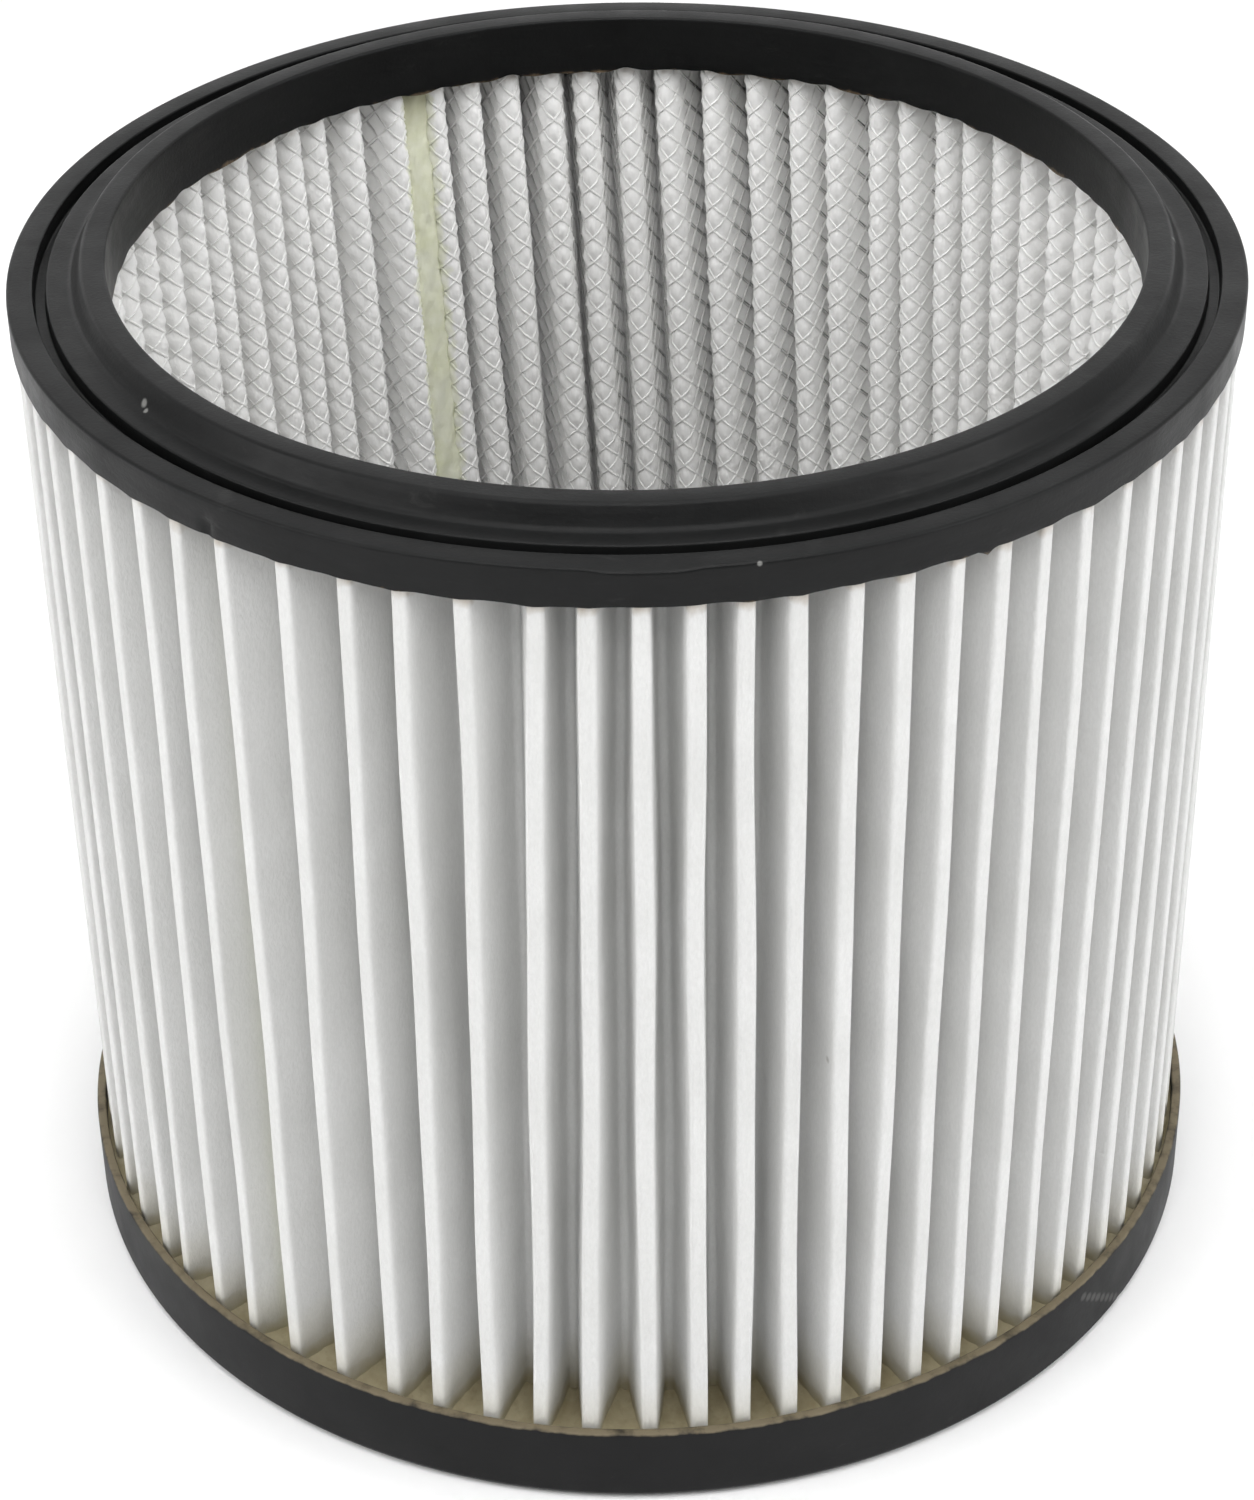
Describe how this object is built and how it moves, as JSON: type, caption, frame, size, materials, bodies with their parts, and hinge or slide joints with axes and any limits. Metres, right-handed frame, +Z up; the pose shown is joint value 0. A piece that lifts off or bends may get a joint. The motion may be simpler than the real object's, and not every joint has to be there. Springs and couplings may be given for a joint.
{
  "type": "vacuum cartridge filter",
  "caption": "Round pleated cartridge filter with a black sealing ring and raised lip on top, a white pleated sheet backed by a net, and a closed black bottom pan.",
  "frame": {"origin": "centre of the underside of the bottom pan", "axes": "+Z up along the cartridge's axis, towards the open top; the picture's viewpoint is towards -Y"},
  "size_m": [0.193, 0.193, 0.177],
  "materials": {
    "pan_plastic": "satin black",
    "potting": "cured, dull",
    "fleece": "nonwoven, matte",
    "net_plastic": "translucent white",
    "seam": "cured glue",
    "ring_rubber": "satin black"
  },
  "bodies": {
    "root": {"bottom_pan": "pan_plastic", "bottom_potting": "potting", "filter_medium": "fleece", "support_net": "net_plastic", "seam_glue": "seam", "top_ring": "ring_rubber"}
  },
  "joints": []
}
